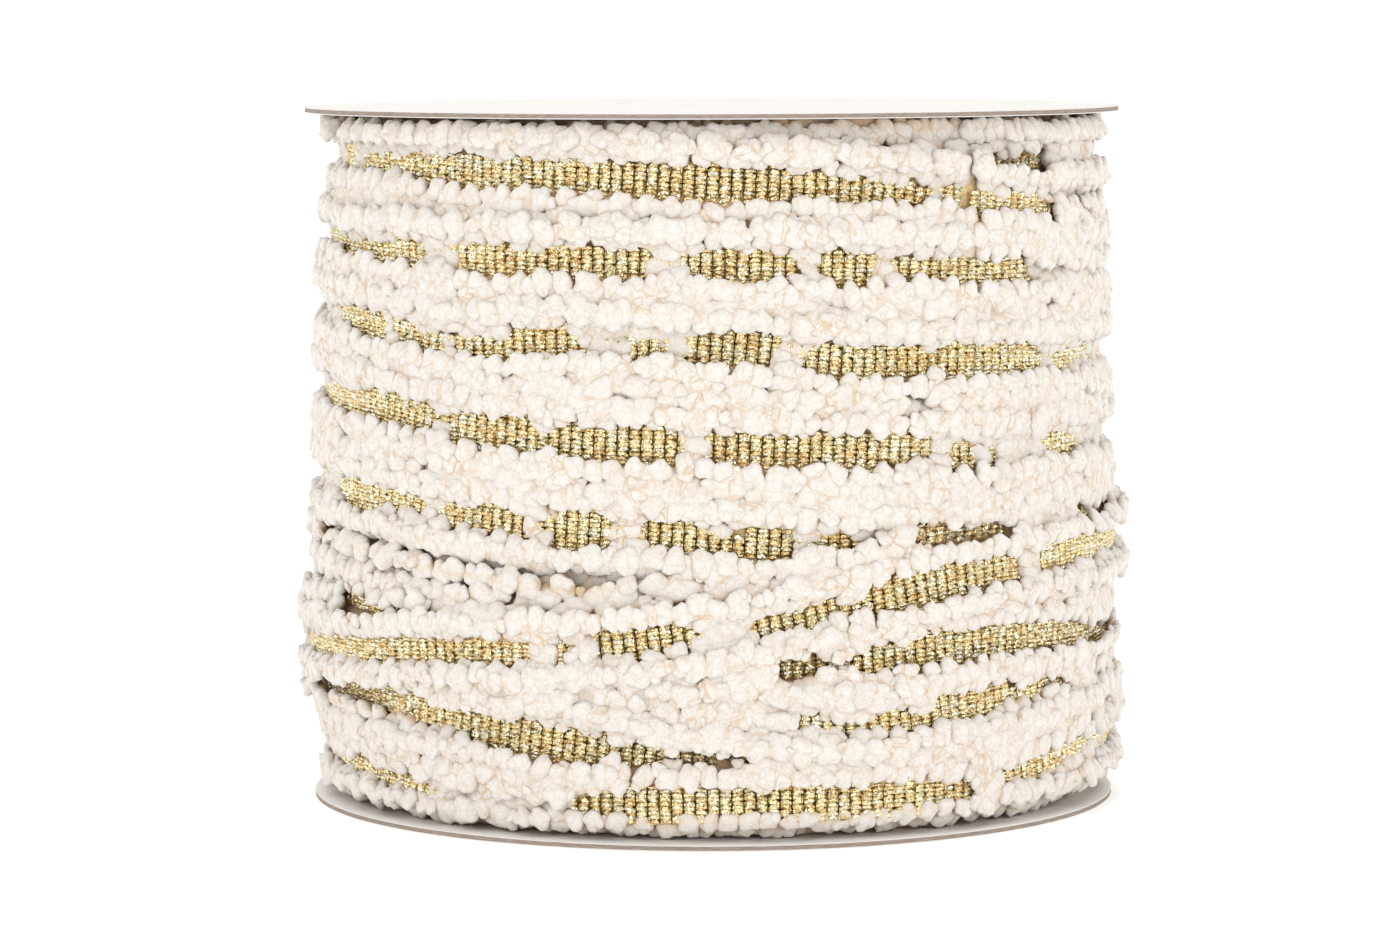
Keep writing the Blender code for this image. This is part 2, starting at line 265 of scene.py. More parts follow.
def mapSurface():
    azimuths = np.arange(-180.0, 180.0, surfaceMap["azimuthStep"])
    heights = np.arange(floorHeight, ceilingHeight + 0.01, surfaceMap["heightStep"])
    around, up = np.meshgrid(azimuths, heights)
    barrel = np.array([barrelRadius(height) for height in heights])[:, None]
    under = barrel - winding["underLayerDrop"] + 0.0 * around
    farAway, openMargin = surfaceMap["farAway"], surfaceMap["openMargin"]
    radius, owner, offset = under.copy(), np.full(around.shape, -1), np.full(around.shape, farAway)
    tops = []
    edges = [goldEdges(turned) for turned in pathTurned]
    below, above = np.array([edge[0] for edge in edges]), np.array([edge[1] for edge in edges])

    def distanceFromGold():  # negative inside a gold opening
        places = around + 360.0 * np.maximum(owner, 0)
        low, high = np.interp(places, pathTurned, below), np.interp(places, pathTurned, above)
        distance = np.maximum(-low - offset, offset - high)
        distance[(low + high < winding["closedUnder"]) | (owner < 0)] = farAway
        return distance

    for turn in range(len(winding["heights"])):
        turned = azimuths + 360.0 * turn
        middle = np.interp(turned, pathTurned, pathHeights, left=-farAway, right=-farAway)
        lay = np.interp(turned, pathTurned, pathRadii)
        away = up - middle
        across = np.abs(away) / halfWidth
        rounding = 1.0 - smoothStep(across, winding["edgeRoundsFrom"], winding["edgeEnds"])
        ridge = np.exp(-((np.minimum(across - winding["ridgeAt"], 0.0) / winding["ridgeSpread"]) ** 2))
        pile = winding["pileHeight"] * (winding["wovenShare"] + (1.0 - winding["wovenShare"]) * ridge)
        skin = under + (lay + pile - under) * rounding
        shows = distanceFromGold() < openMargin
        mine = (np.abs(away) < surfaceMap["openReach"]) | (~shows & (np.abs(away) < surfaceMap["ownReach"]))
        mine |= ~shows & (skin > radius)
        owner[mine] = turn
        offset[mine] = away[mine]
        radius = np.where(mine | ~shows, np.maximum(radius, skin), radius)
        tops.append(np.where(np.abs(away) < surfaceMap["creaseReach"], lay + winding["pileHeight"], 0.0))
    second = np.sort(np.array(tops), axis=0)[-2]
    wander = np.sin(np.radians(around) * 5 + up * 0.9) * np.sin(np.radians(around) * 13 - up * 0.55 + 1.0)
    wander = wander + 0.6 * np.sin(np.radians(around) * 29 + up * 1.7)
    shallow, deep = surfaceMap["creaseDepths"]
    deepening = np.clip(wander - surfaceMap["deepensFrom"], 0.0, 1.0)
    filled = np.maximum(radius, second - shallow - (deep - shallow) * deepening)
    fromGold = distanceFromGold()
    radius = np.where(fromGold < openMargin, radius, filled)
    radius = np.minimum(radius, shoulderLimit(around, up))
    toGold = np.full(around.shape, farAway)  # straight up or down to the nearest gold, of whichever turn
    shows = fromGold < 0.0
    for step in range(round(surfaceMap["searched"] / surfaceMap["heightStep"]), -1, -1):
        toGold[step:][shows[:len(heights) - step]] = step * surfaceMap["heightStep"]
        toGold[:len(heights) - step][shows[step:]] = step * surfaceMap["heightStep"]
    return {"radius": radius, "owner": owner, "fromGold": fromGold, "toGold": toGold}


def lookUp(layer, azimuth, height):
    column = int(round((azimuth + 180.0) / surfaceMap["azimuthStep"])) % wound[layer].shape[1]
    row = int(round((height - floorHeight) / surfaceMap["heightStep"]))
    return wound[layer][min(max(row, 0), wound[layer].shape[0] - 1), column]


def axesAt(azimuth, height):  # along the trim, across it and out of the surface, and the radius there
    turned = azimuth + 360 * max(int(lookUp("owner", azimuth, height)), 0)
    slope = slopeAt(turned)
    span = surfaceMap["leanSpan"]
    rise = lookUp("radius", azimuth, height + span) - lookUp("radius", azimuth, height - span)
    lean = max(-1.0, min(1.0, rise / (2 * span))) * surfaceMap["leanLimit"]
    a = math.radians(azimuth)
    outward = Vector((math.sin(a), -math.cos(a), -lean)).normalized()
    along = Vector((math.cos(a) * math.cos(slope), math.sin(a) * math.cos(slope), math.sin(slope)))
    across = outward.cross(along).normalized()
    return across.cross(outward), across, outward, lookUp("radius", azimuth, height)


wound = mapSurface()
print("path wound:", len(pathTurned), "degrees")


# Nodes and finishes
def startMaterial(name):
    material = bpy.data.materials.new(name)
    material.use_nodes = True
    return material, material.node_tree, material.node_tree.nodes["Principled BSDF"]


def addNode(tree, kind, inputs=None, **settings):
    node = tree.nodes.new(kind)
    for key, value in settings.items():
        setattr(node, key, value)
    for key, value in (inputs or {}).items():
        if isinstance(value, bpy.types.NodeSocket):
            tree.links.new(value, node.inputs[key])
        else:
            node.inputs[key].default_value = value
    return node


def colourRamp(tree, factor, stops):
    ramp = addNode(tree, "ShaderNodeValToRGB", {"Fac": factor})
    ramp.color_ramp.elements[0].position = stops[0][0]
    ramp.color_ramp.elements[0].color = (*stops[0][1], 1.0)
    ramp.color_ramp.elements[1].position = stops[-1][0]
    ramp.color_ramp.elements[1].color = (*stops[-1][1], 1.0)
    for place, colour in stops[1:-1]:
        ramp.color_ramp.elements.new(place).color = (*colour, 1.0)
    return ramp.outputs["Color"]


def greyRamp(tree, factor, *stops):
    return colourRamp(tree, factor, [(place, (grey, grey, grey)) for place, grey in stops])


def objectNoise(tree, scale, detail=2.0, roughness=0.5, stretch=None):
    coords = addNode(tree, "ShaderNodeTexCoord").outputs["Object"]
    if stretch:
        coords = addNode(tree, "ShaderNodeMapping", {"Vector": coords, "Scale": stretch}).outputs["Vector"]
    inputs = {"Vector": coords, "Scale": scale, "Detail": detail, "Roughness": roughness}
    return addNode(tree, "ShaderNodeTexNoise", inputs).outputs["Fac"]


def mixedColour(tree, factor, first, second, blend="MIX"):
    mix = addNode(tree, "ShaderNodeMix", data_type="RGBA", blend_type=blend)
    for socket, value in ((mix.inputs[0], factor), (mix.inputs[6], first), (mix.inputs[7], second)):
        if isinstance(value, bpy.types.NodeSocket):
            tree.links.new(value, socket)
        else:
            socket.default_value = value
    return mix.outputs[2]


def vectorMath(tree, operation, *values):
    inputs = dict(enumerate(values))
    return addNode(tree, "ShaderNodeVectorMath", inputs, operation=operation).outputs[0]


def bumped(tree, height, strength, reach, normal=None):  # reach in mm
    inputs = {"Height": height, "Strength": strength, "Distance": reach * mm}
    if normal is not None:
        inputs["Normal"] = normal
    return addNode(tree, "ShaderNodeBump", inputs).outputs["Normal"]


def dressShader(tree, shader, colour, roughness, normal):
    tree.links.new(colour, shader.inputs["Base Color"])
    tree.links.new(normal, shader.inputs["Normal"])
    shader.inputs["Roughness"].default_value = roughness


fluffFinish = {
    # tip is the cotton's own colour; middle and root are painted shade, darker and warmer deeper between the
    # tufts
    "tip": (0.755, 0.722, 0.675),
    "middle": (0.745, 0.665, 0.57),
    "root": (0.62, 0.45, 0.29),
    "depths": (0.2, 0.5, 1.0),  # depth values at which those colours are reached
    "creaseShade": (0.66, 0.50, 0.35, 1.0),
    "creaseShadeFades": (0.43, 0.49, 0.53, 0.57),  # half seam values where the painted crease shade starts, is full, fades and ends
    "creaseShadeStrength": (0.12, 0.9),  # which wanders between these
    "creaseShadeWander": 260.0,
    "lobeScale": 820.0,
    "lobeWander": 1400.0,
    "lobeBend": (0.0009, 0.0009, 0.0009),
    "lobeCreaseShade": (0.08, 0.5),  # width and strength of the painted shade in the faint creases between lobes
    "mottleScale": 700.0,
    "mottle": (0.95, 0.925, 0.89),
    "fibreScale": 3600.0,
    "sheen": 0.3,
    "softness": 0.8,  # how far light is spread round a tuft, instead of following its form
}


def makeFluffMaterial():  # soft cotton boucle, with painted shade: darker and warmer towards its roots, along the creases between tufts and between its lobes
    material, tree, shader = startMaterial("creamFluff")
    # Painted shade: the deeper a point lies below the tips, the darker and warmer its colour
    depth = addNode(tree, "ShaderNodeAttribute", attribute_name="depth").outputs["Fac"]
    colours = (fluffFinish["tip"], fluffFinish["middle"], fluffFinish["root"])
    colour = colourRamp(tree, depth, tuple(zip(fluffFinish["depths"], colours)))
    coords = addNode(tree, "ShaderNodeTexCoord").outputs["Object"]
    wander = addNode(tree, "ShaderNodeTexNoise",
                     {"Vector": coords, "Scale": fluffFinish["lobeWander"], "Detail": 1.0}).outputs["Color"]
    bent = vectorMath(tree, "ADD", vectorMath(tree, "MULTIPLY", wander, fluffFinish["lobeBend"]), coords)
    lobes = addNode(tree, "ShaderNodeTexVoronoi", {"Vector": bent, "Scale": fluffFinish["lobeScale"]},
                    feature="DISTANCE_TO_EDGE").outputs["Distance"]
    # Painted shade in the faint creases between the lobes
    width, strength = fluffFinish["lobeCreaseShade"]
    faint = greyRamp(tree, lobes, (0.0, strength), (width, 0.0))
    colour = mixedColour(tree, faint, colour, fluffFinish["creaseShade"])
    # Painted crease shade where a tuft meets another tuft, of wandering strength
    seam = addNode(tree, "ShaderNodeAttribute", attribute_name="seam").outputs["Fac"]
    seam = addNode(tree, "ShaderNodeMath", {0: seam, 1: 0.5}, operation="MULTIPLY").outputs[0]
    creaseShade = greyRamp(tree, seam, *zip(fluffFinish["creaseShadeFades"], (0.0, 1.0, 1.0, 0.0)))
    strength = greyRamp(tree, objectNoise(tree, fluffFinish["creaseShadeWander"]),
                        *zip((0.4, 0.64), fluffFinish["creaseShadeStrength"]))
    creaseShade = mixedColour(tree, 1.0, creaseShade, strength, "MULTIPLY")
    colour = mixedColour(tree, creaseShade, colour, fluffFinish["creaseShade"])
    mottle = colourRamp(tree, objectNoise(tree, fluffFinish["mottleScale"], 2.0, 0.6),
                        ((0.34, fluffFinish["mottle"]), (0.5, (1.0, 1.0, 1.0))))
    colour = mixedColour(tree, 1.0, colour, mottle, "MULTIPLY")
    shader.inputs["Specular IOR Level"].default_value = 0.1
    shader.inputs["Sheen Weight"].default_value = fluffFinish["sheen"]
    shader.inputs["Sheen Roughness"].default_value = 0.5
    lobed = bumped(tree, greyRamp(tree, lobes, (0.0, 0.0), (0.4, 1.0)), 0.4, 0.18)
    fibres = bumped(tree, objectNoise(tree, fluffFinish["fibreScale"], 2.0, 0.7), 0.6, 0.16, lobed)
    level = vectorMath(tree, "NORMALIZE", vectorMath(tree, "MULTIPLY", coords, (1.0, 1.0, 0.0)))
    level = vectorMath(tree, "MULTIPLY", level, (fluffFinish["softness"],) * 3)
    eased = vectorMath(tree, "NORMALIZE", vectorMath(tree, "ADD", level, fibres))
    dressShader(tree, shader, colour, 0.95, eased)
    return material


goldFinish = {
    "shades": ((0.0, (0.90, 0.70, 0.38)), (0.3, (0.98, 0.82, 0.50)), (0.7, (1.0, 0.90, 0.60)),
               (1.0, (1.0, 0.97, 0.80))),
    "reflectionSpecks": ((0.36, (0.22, 0.13, 0.04)), (0.45, (1.0, 1.0, 1.0))),
    "speckScale": 4200.0,
    "foilScale": 3400.0,
}


def makeGoldMaterial():  # metallic yarn: flat foil wrapped round a core, so that it glints in specks; dark specks in its colour are painted reflections
    material, tree, shader = startMaterial("goldYarn")
    shade = addNode(tree, "ShaderNodeAttribute", attribute_name="shade").outputs["Fac"]
    # Painted reflections: dark specks multiplied into the gold stand in for foil facets that mirror dim
    # surroundings
    reflectionSpecks = colourRamp(tree, objectNoise(tree, goldFinish["speckScale"], 2.0, 0.7), goldFinish["reflectionSpecks"])
    colour = mixedColour(tree, 0.8, colourRamp(tree, shade, goldFinish["shades"]), reflectionSpecks, "MULTIPLY")
    shader.inputs["Metallic"].default_value = 1.0
    coords = addNode(tree, "ShaderNodeTexCoord").outputs["Object"]
    foil = addNode(tree, "ShaderNodeTexVoronoi", {"Vector": coords, "Scale": goldFinish["foilScale"]},
                   feature="F1").outputs["Distance"]
    dressShader(tree, shader, colour, 0.28, bumped(tree, foil, 0.8, 0.2))
    return material


groundFinish = {
    "yarn": ((0.3, (0.52, 0.36, 0.15)), (0.7, (0.86, 0.66, 0.34))),
    "rootShade": (0.66, 0.52, 0.39, 1.0),  # painted shade: the strip's edges, which the fluff grows from, take the shaded root colour
    "rootShadeFrom": (0.5, 0.66),  # places across the strip where that painted shade starts and is full, as shares of its half width
}


def makeGroundMaterial():  # the darker yarn that shows between the gold columns, with painted shade on its edges under the tufts
    material, tree, shader = startMaterial("goldGround")
    colour = colourRamp(tree, objectNoise(tree, 1800.0, 3.0), groundFinish["yarn"])
    edge = addNode(tree, "ShaderNodeAttribute", attribute_name="edge").outputs["Fac"]
    # Painted shade on the strip's edges under the tufts
    rootShade = greyRamp(tree, edge, *zip(groundFinish["rootShadeFrom"], (0.0, 1.0)))
    colour = mixedColour(tree, rootShade, colour, groundFinish["rootShade"])
    dressShader(tree, shader, colour, 0.6, bumped(tree, objectNoise(tree, 2600.0), 0.7, 0.2))
    return material


cardFinish = {
    "paper": ((0.3, (0.70, 0.665, 0.63)), (0.7, (0.76, 0.73, 0.70))),
    "pulp": ((0.3, (0.25, 0.195, 0.155)), (0.55, (0.34, 0.275, 0.225)), (0.75, (0.44, 0.37, 0.31))),
}


def makeCardMaterial():  # smooth pale paper facing
    material, tree, shader = startMaterial("cardFace")
    colour = colourRamp(tree, objectNoise(tree, 140.0, 6.0, 0.7), cardFinish["paper"])
    dressShader(tree, shader, colour, 0.6, bumped(tree, objectNoise(tree, 900.0, 4.0, 0.6), 0.25, 0.05))
    return material


def makeBoardMaterial():  # cut edge: grey-brown pulp in thin plies
    material, tree, shader = startMaterial("cardEdge")
    plies = objectNoise(tree, 900.0, 3.0, 0.6, (1.0, 1.0, 8.0))
    dressShader(tree, shader, colourRamp(tree, plies, cardFinish["pulp"]), 0.9, bumped(tree, plies, 0.8, 0.1))
    return material


finishes = {
    "fluff": makeFluffMaterial(),
    "gold": makeGoldMaterial(),
    "ground": makeGroundMaterial(),
    "card": makeCardMaterial(),
    "board": makeBoardMaterial(),
}
print("finishes made")


# Mesh helpers
def deselectAll():
    if bpy.context.object and bpy.context.object.mode != "OBJECT":
        bpy.ops.object.mode_set(mode="OBJECT")
    bpy.ops.object.select_all(action="DESELECT")


def meshPiece(name, points, triangles, material, attributes=None):
    mesh = bpy.data.meshes.new(name)
    mesh.vertices.add(len(points))
    mesh.vertices.foreach_set("co", (np.asarray(points) * mm).astype(np.float32).ravel())
    mesh.loops.add(len(triangles) * 3)
    mesh.loops.foreach_set("vertex_index", np.asarray(triangles, np.int32).ravel())
    mesh.polygons.add(len(triangles))
    mesh.polygons.foreach_set("loop_start", np.arange(0, 3 * len(triangles), 3, dtype=np.int32))
    mesh.update(calc_edges=True)
    mesh.shade_smooth()
    for key, values in (attributes or {}).items():
        mesh.attributes.new(key, "FLOAT", "POINT").data.foreach_set("value", np.asarray(values, np.float32))
    mesh.materials.append(material)
    piece = bpy.data.objects.new(name, mesh)
    bpy.context.collection.objects.link(piece)
    return piece


def takeShape(item):  # points and triangles of a modelled shape, which is then removed
    bpy.context.view_layer.update()
    mesh = item.data
    mesh.calc_loop_triangles()
    points = np.empty(len(mesh.vertices) * 3)
    mesh.vertices.foreach_get("co", points)
    triangles = np.empty(len(mesh.loop_triangles) * 3, np.int32)
    mesh.loop_triangles.foreach_get("vertices", triangles)
    bpy.data.objects.remove(item)
    return points.reshape(-1, 3), triangles.reshape(-1, 3)


def joinCopies(shapes, copies):  # copies are (shape number, place, along, across, outward, sizes, shade)
    points, triangles, shades, count = [], [], [], 0
    for number, place, along, across, outward, sizes, shade in copies:
        local, faces = shapes[number]
        axes = np.array((along, across, outward)) * np.array(sizes)[:, None]
        points.append(local @ axes + np.array(place))
        triangles.append(faces + count)
        shades.append(np.full(len(local), shade))
        count += len(local)
    return np.concatenate(points), np.concatenate(triangles), np.concatenate(shades)


# Tufts of the fluffy edges
tuft = {
    "variants": 14,
    "lobes": 4,  # small lobes on the main one
    "lobeSizes": (0.42, 0.62),
    "girth": (0.74, 0.86),  # half widths of the main lobe
    "remesh": 0.15,
    "triangles": 80,
    "cutBelow": -0.4,  # the back of a tuft is buried in the pile, so it is cut flat
    "flat": 0.86,
    "press": 0.35,  # how much the top is pressed flat
}


def modelTuft(number):
    deselectAll()
    bpy.ops.mesh.primitive_ico_sphere_add(subdivisions=3, radius=1.0)
    item = bpy.context.object
    bpy.ops.object.mode_set(mode="EDIT")
    bpy.ops.mesh.select_all(action="SELECT")
    bpy.ops.transform.resize(value=(rng.uniform(*tuft["girth"]), rng.uniform(*tuft["girth"]), 0.8))
    for index in range(tuft["lobes"]):
        around = 2 * math.pi * (index + rng.uniform(-0.3, 0.3)) / tuft["lobes"] + number
        up, size = rng.uniform(0.0, 0.6), rng.uniform(*tuft["lobeSizes"])
        reach = math.sqrt(1.0 - up * up) * rng.uniform(0.45, 0.66)
        place = (reach * math.cos(around), reach * math.sin(around), up * 0.6)
        bpy.ops.mesh.select_all(action="DESELECT")
        bpy.ops.mesh.primitive_ico_sphere_add(subdivisions=2, radius=size, location=place)
    bpy.ops.object.mode_set(mode="OBJECT")
    melt = item.modifiers.new("melt", "REMESH")  # grows the lobes into one another
    melt.mode = "VOXEL"
    melt.voxel_size = tuft["remesh"]
    bpy.ops.object.modifier_apply(modifier="melt")
    bpy.ops.object.mode_set(mode="EDIT")
    bpy.ops.mesh.select_all(action="SELECT")
    bpy.ops.mesh.bisect(plane_co=(0, 0, tuft["cutBelow"]), plane_no=(0, 0, 1), clear_inner=True,
                        use_fill=True)
    bpy.ops.mesh.select_all(action="SELECT")
    bpy.ops.mesh.quads_convert_to_tris()
    bpy.ops.transform.resize(value=(1.0, 1.0, tuft["flat"]))
    bpy.ops.object.mode_set(mode="OBJECT")
    for vertex in item.data.vertices:
        if vertex.co.z > 0:
            vertex.co.z *= 1.2 - tuft["press"] * vertex.co.z
    thin = item.modifiers.new("thin", "DECIMATE")
    thin.ratio = tuft["triangles"] / len(item.data.polygons)
    bpy.ops.object.modifier_apply(modifier="thin")
    return takeShape(item)


tuftShapes = [modelTuft(number) for number in range(tuft["variants"])]
print("tuft shapes:", [len(shape[1]) for shape in tuftShapes])

fluff = {
    "toothPitch": 2.6,  # mm between the big tufts that reach over the gold's edge
    "toothAlong": 1.45,  # half sizes
    "toothAcross": 1.55,
    "toothOut": 1.25,
    "toothOver": (0.4, 0.0),  # how far they reach past the lower and the upper edge
    "keepOff": 0.42,  # the rest stay this far from the gold's edge, the big ones further
    "ownGold": 3.2,  # mm from their own turn's gold within which they do so
    "sizes": (1.32, 1.0, 0.7),  # half sizes of the rest, the biggest placed first
    "form": (1.43, 1.43, 1.15),  # along, across and out, as shares of the size
    "tries": (26000, 30000, 40000),
    "crumbTries": 9000,
    "crumbsOff": 0.6,  # mm from the gold where crumbs start
    "crumbSizes": (0.5, 0.7),
    "crumbForm": (1.5, 1.5, 1.4),
    "crumbSink": 0.45,
    "collarBelow": (1.1, 2.1),  # mm from the upper disc to the middles of its tufts
    "collarHalf": (1.6, 1.5, 1.5),
    "collarLift": 0.8,
    "collarPitch": (1.4, 2.2),  # degrees
    "discRoom": 0.5,  # mm from the discs to the nearest middle
    "closeness": 0.60,  # smallest distance between middles, as a share of their half sizes' sum
    "cell": 2.0,  # mm, of the squares that placed tufts are filed under
    "sink": 0.55,
    "tilt": 0.14,
    "skinRoom": 0.03,  # mm between the tufts and the discs
    "bedDepth": 0.85,
    "bedWave": 0.2,
    "bedRetreats": (1.4, 1.1),  # degrees and mm by which the bed stays back from steps and openings
    "bedSteps": (200, 125),
    "rootDepth": 1.6,
    "tipHeight": 0.35,  # mm that the tips stand over the map, where the depth is nought
    "shadeUnder": 0.7,  # mm of depth added, as painted shade, to the lower layer and beneath the upper disc
    "shadeFrom": (2.3, 1.0),  # mm below the upper disc where that painted shade starts and is full
    "seamReach": 0.6,  # mm from another tuft at which the seam value is nought
    "seamDepth": 0.3,  # mm inside another tuft beyond which it grows no more
    "seamSearch": (10, 3.6),  # how many tufts are compared, and how far away in mm
}

meanRadius = 47.0
placedTufts = []
tuftCells = {}


def roomFor(azimuth, height, size):
    s, cell = math.radians(azimuth) * meanRadius, fluff["cell"]
    rows = range(int(height // cell) - 1, int(height // cell) + 2)
    columns = range(int(s // cell) - 1, int(s // cell) + 2)
    for row in rows:
        for column in columns:
            for otherS, otherHeight, otherSize in tuftCells.get((row, column), ()):
                near = fluff["closeness"] * (size + otherSize)
                if (s - otherS) ** 2 + (height - otherHeight) ** 2 < near * near:
                    return False
    return True


def keepTuft(azimuth, height, size):
    s, cell = math.radians(azimuth) * meanRadius, fluff["cell"]
    for shift in (0.0, -2 * math.pi * meanRadius, 2 * math.pi * meanRadius):
        key = (int(height // cell), int((s + shift) // cell))
        tuftCells.setdefault(key, []).append((s + shift, height, size))


def addTuft(azimuth, height, halfAlong, halfAcross, halfOut, lift=0.0):
    along, across, outward, radius = axesAt(azimuth, height)
    spin = Matrix.Rotation(rng.uniform(-math.pi, math.pi), 3, outward)
    tilt = Matrix.Rotation(rng.uniform(-1, 1) * fluff["tilt"], 3, along)
    along, across, outward = (tilt @ spin @ axis for axis in (along, across, outward))
    reach = halfAcross * 0.8
    height = min(max(height, floorHeight + reach), ceilingHeight - reach)
    depth = halfOut * (fluff["sink"] + rng.uniform(-0.07, 0.1))
    owner = max(int(lookUp("owner", azimuth, height)), 0)
    place = placeOf(azimuth, radius + lift, height) - outward * depth
    sizes = [half * rng.uniform(0.88, 1.12) for half in (halfAlong, halfAcross, halfOut)]
    copy = (rng.randrange(tuft["variants"]), place, along, across, outward, sizes, rng.random())
    placedTufts.append((owner, copy))


def addTeeth():  # big tufts on both sides of each gold opening
    for which, side in enumerate((-1, 1)):
        turned = float(pathTurned[0])
        while turned < pathTurned[-1]:
            step = fluff["toothPitch"] * rng.uniform(0.75, 1.25)
            azimuth = (turned + 180.0) % 360.0 - 180.0
            edge = goldEdges(turned)[which]
            size = rng.uniform(0.85, 1.15)
            out = edge - fluff["toothOver"][which] + fluff["toothAcross"] * size + rng.uniform(-0.35, 0.25)
            height = heightAt(turned) + side * out
            fits = floorHeight + 0.6 < height < ceilingHeight - 0.6
            fits = fits and lookUp("owner", azimuth, height) == round(turned / 360)
            fits = fits and lookUp("fromGold", azimuth, height) < surfaceMap["farAway"]
            if fits and roomFor(azimuth, height, 0.9):
                addTuft(azimuth, height, fluff["toothAlong"] * size, fluff["toothAcross"] * size,
                        fluff["toothOut"])
                keepTuft(azimuth, height, 1.25 * size)
            turned += math.degrees(step / meanRadius)


def anyPlace():
    azimuth = rng.uniform(-180.0, 180.0)
    return azimuth, rng.uniform(floorHeight + fluff["discRoom"], ceilingHeight - fluff["discRoom"])


def addFill():
    for size, tries in zip(fluff["sizes"], fluff["tries"]):
        for _ in range(tries):
            azimuth, height = anyPlace()
            own = lookUp("fromGold", azimuth, height) < fluff["ownGold"]
            clear = size + fluff["keepOff"] * size * size if own else size * 1.1
            if lookUp("toGold", azimuth, height) > clear and roomFor(azimuth, height, size):
                addTuft(azimuth, height, *(size * share for share in fluff["form"]))
                keepTuft(azimuth, height, size)


def addCrumbs():  # small low tufts in the gaps that are left
    for _ in range(fluff["crumbTries"]):
        azimuth, height = anyPlace()
        size = rng.uniform(*fluff["crumbSizes"])
        if lookUp("toGold", azimuth, height) > fluff["crumbsOff"] and roomFor(azimuth, height, size):
            addTuft(azimuth, height, *(size * share for share in fluff["crumbForm"]), -fluff["crumbSink"])
            keepTuft(azimuth, height, size)


def addCollar():  # big tufts of the layer below, in the shade of the upper disc
    azimuth = -180.0
    while azimuth < 180.0:
        height = ceilingHeight - rng.uniform(*fluff["collarBelow"])
        if lookUp("toGold", azimuth, height) > 2.0 and roomFor(azimuth, height, 0.8):
            addTuft(azimuth, height, *fluff["collarHalf"], fluff["collarLift"])
            keepTuft(azimuth, height, 1.1)
        azimuth += rng.uniform(*fluff["collarPitch"])


def markSeams():  # 1 where a tuft's skin meets another tuft, less away from it and more inside it; the fluff's material paints crease shade along it
    places = np.array([copy[1] for owner, copy in placedTufts])
    frames = np.array([np.array(copy[2:5]) * np.array(copy[5])[:, None] for owner, copy in placedTufts])
    inverses = np.linalg.inv(frames)
    spans = [(points / np.linalg.norm(points, axis=1)[:, None], np.linalg.norm(points, axis=1))
             for points, faces in tuftShapes]
    tree = KDTree(len(places))
    for i, place in enumerate(places):
        tree.insert(place, i)
    tree.balance()
    count, farthest = fluff["seamSearch"]
    seams = []
    for i, (owner, copy) in enumerate(placedTufts):
        points = tuftShapes[copy[0]][0] @ frames[i] + places[i]
        nearest = np.full(len(points), fluff["seamReach"])
        for _, j, far in tree.find_n(places[i], count):
            if j == i or far > farthest:
                continue
            local = (points - places[j]) @ inverses[j]
            reach = np.linalg.norm(local, axis=1)
            directions, radii = spans[placedTufts[j][1][0]]
            skin = radii[(local @ directions.T).argmax(axis=1)]
            nearest = np.minimum(nearest, (reach - skin) * sum(placedTufts[j][1][5]) / 3.0)
        seams.append(1.0 - np.maximum(nearest, -fluff["seamDepth"]) / fluff["seamReach"])
    return seams


def markPaintedShade(piece):
    # Marks how deep each point lies, which picks the painted shade of the fluff's colour
    points = np.empty(len(piece.data.vertices) * 3)
    piece.data.vertices.foreach_get("co", points)
    points = points.reshape(-1, 3) / mm
    azimuth = np.degrees(np.arctan2(points[:, 0], -points[:, 1]))
    columns = np.round((azimuth + 180.0) / surfaceMap["azimuthStep"]).astype(int) % wound["radius"].shape[1]
    rows = np.round((points[:, 2] - floorHeight) / surfaceMap["heightStep"]).astype(int)
    rows = np.clip(rows, 0, wound["radius"].shape[0] - 1)
    start, full = fluff["shadeFrom"]
    below = wound["radius"][rows, columns] + fluff["tipHeight"] - np.hypot(points[:, 0], points[:, 1])
    # Painted shade: the lower layer and the fluff beneath the upper disc count as deeper, so they are painted
    # darker and warmer
    below += fluff["shadeUnder"] * (wound["owner"][rows, columns] < 0)
    below += fluff["shadeUnder"] * np.clip((points[:, 2] - ceilingHeight + start) / (start - full), 0.0, 1.0)
    layer = piece.data.attributes.new("depth", "FLOAT", "POINT")
    layer.data.foreach_set("value", np.clip(below / fluff["rootDepth"], 0.0, 1.0).astype(np.float32))


fluffPieces = []


def joinTufts():
    seams = markSeams()
    for turn in range(len(winding["heights"])):
        chosen = [i for i, (owner, copy) in enumerate(placedTufts) if owner == turn]
        points, triangles, _ = joinCopies(tuftShapes, [placedTufts[i][1] for i in chosen])
        room = fluff["skinRoom"]
        points[:, 2] = np.clip(points[:, 2], floorHeight + room, ceilingHeight - room)
        piece = meshPiece(f"fluff_turn_{turn}", points, triangles, finishes["fluff"],
                          {"seam": np.concatenate([seams[i] for i in chosen])})
        markPaintedShade(piece)
        fluffPieces.append(piece)
        print(piece.name, len(chosen), "tufts,", len(triangles), "triangles")


def roundGrid(name, roundSteps, rows, attributes=None):  # a closed drum from rows of points round the axis
    points = [tuple(place) for row in rows for place in row]
    points += [(0.0, 0.0, rows[0][0].z), (0.0, 0.0, rows[-1][0].z)]
    low, high, top = len(points) - 2, len(points) - 1, (len(rows) - 1) * roundSteps
    triangles = []
    for i in range(len(rows) - 1):
        for j in range(roundSteps):
            k = (j + 1) % roundSteps
            a, b = i * roundSteps + j, i * roundSteps + k
            triangles += [(a, b, b + roundSteps), (a, b + roundSteps, a + roundSteps)]
    for j in range(roundSteps):
        k = (j + 1) % roundSteps
        triangles += [(low, k, j), (high, top + j, top + k)]
    return meshPiece(name, points, triangles, finishes["fluff"], attributes)


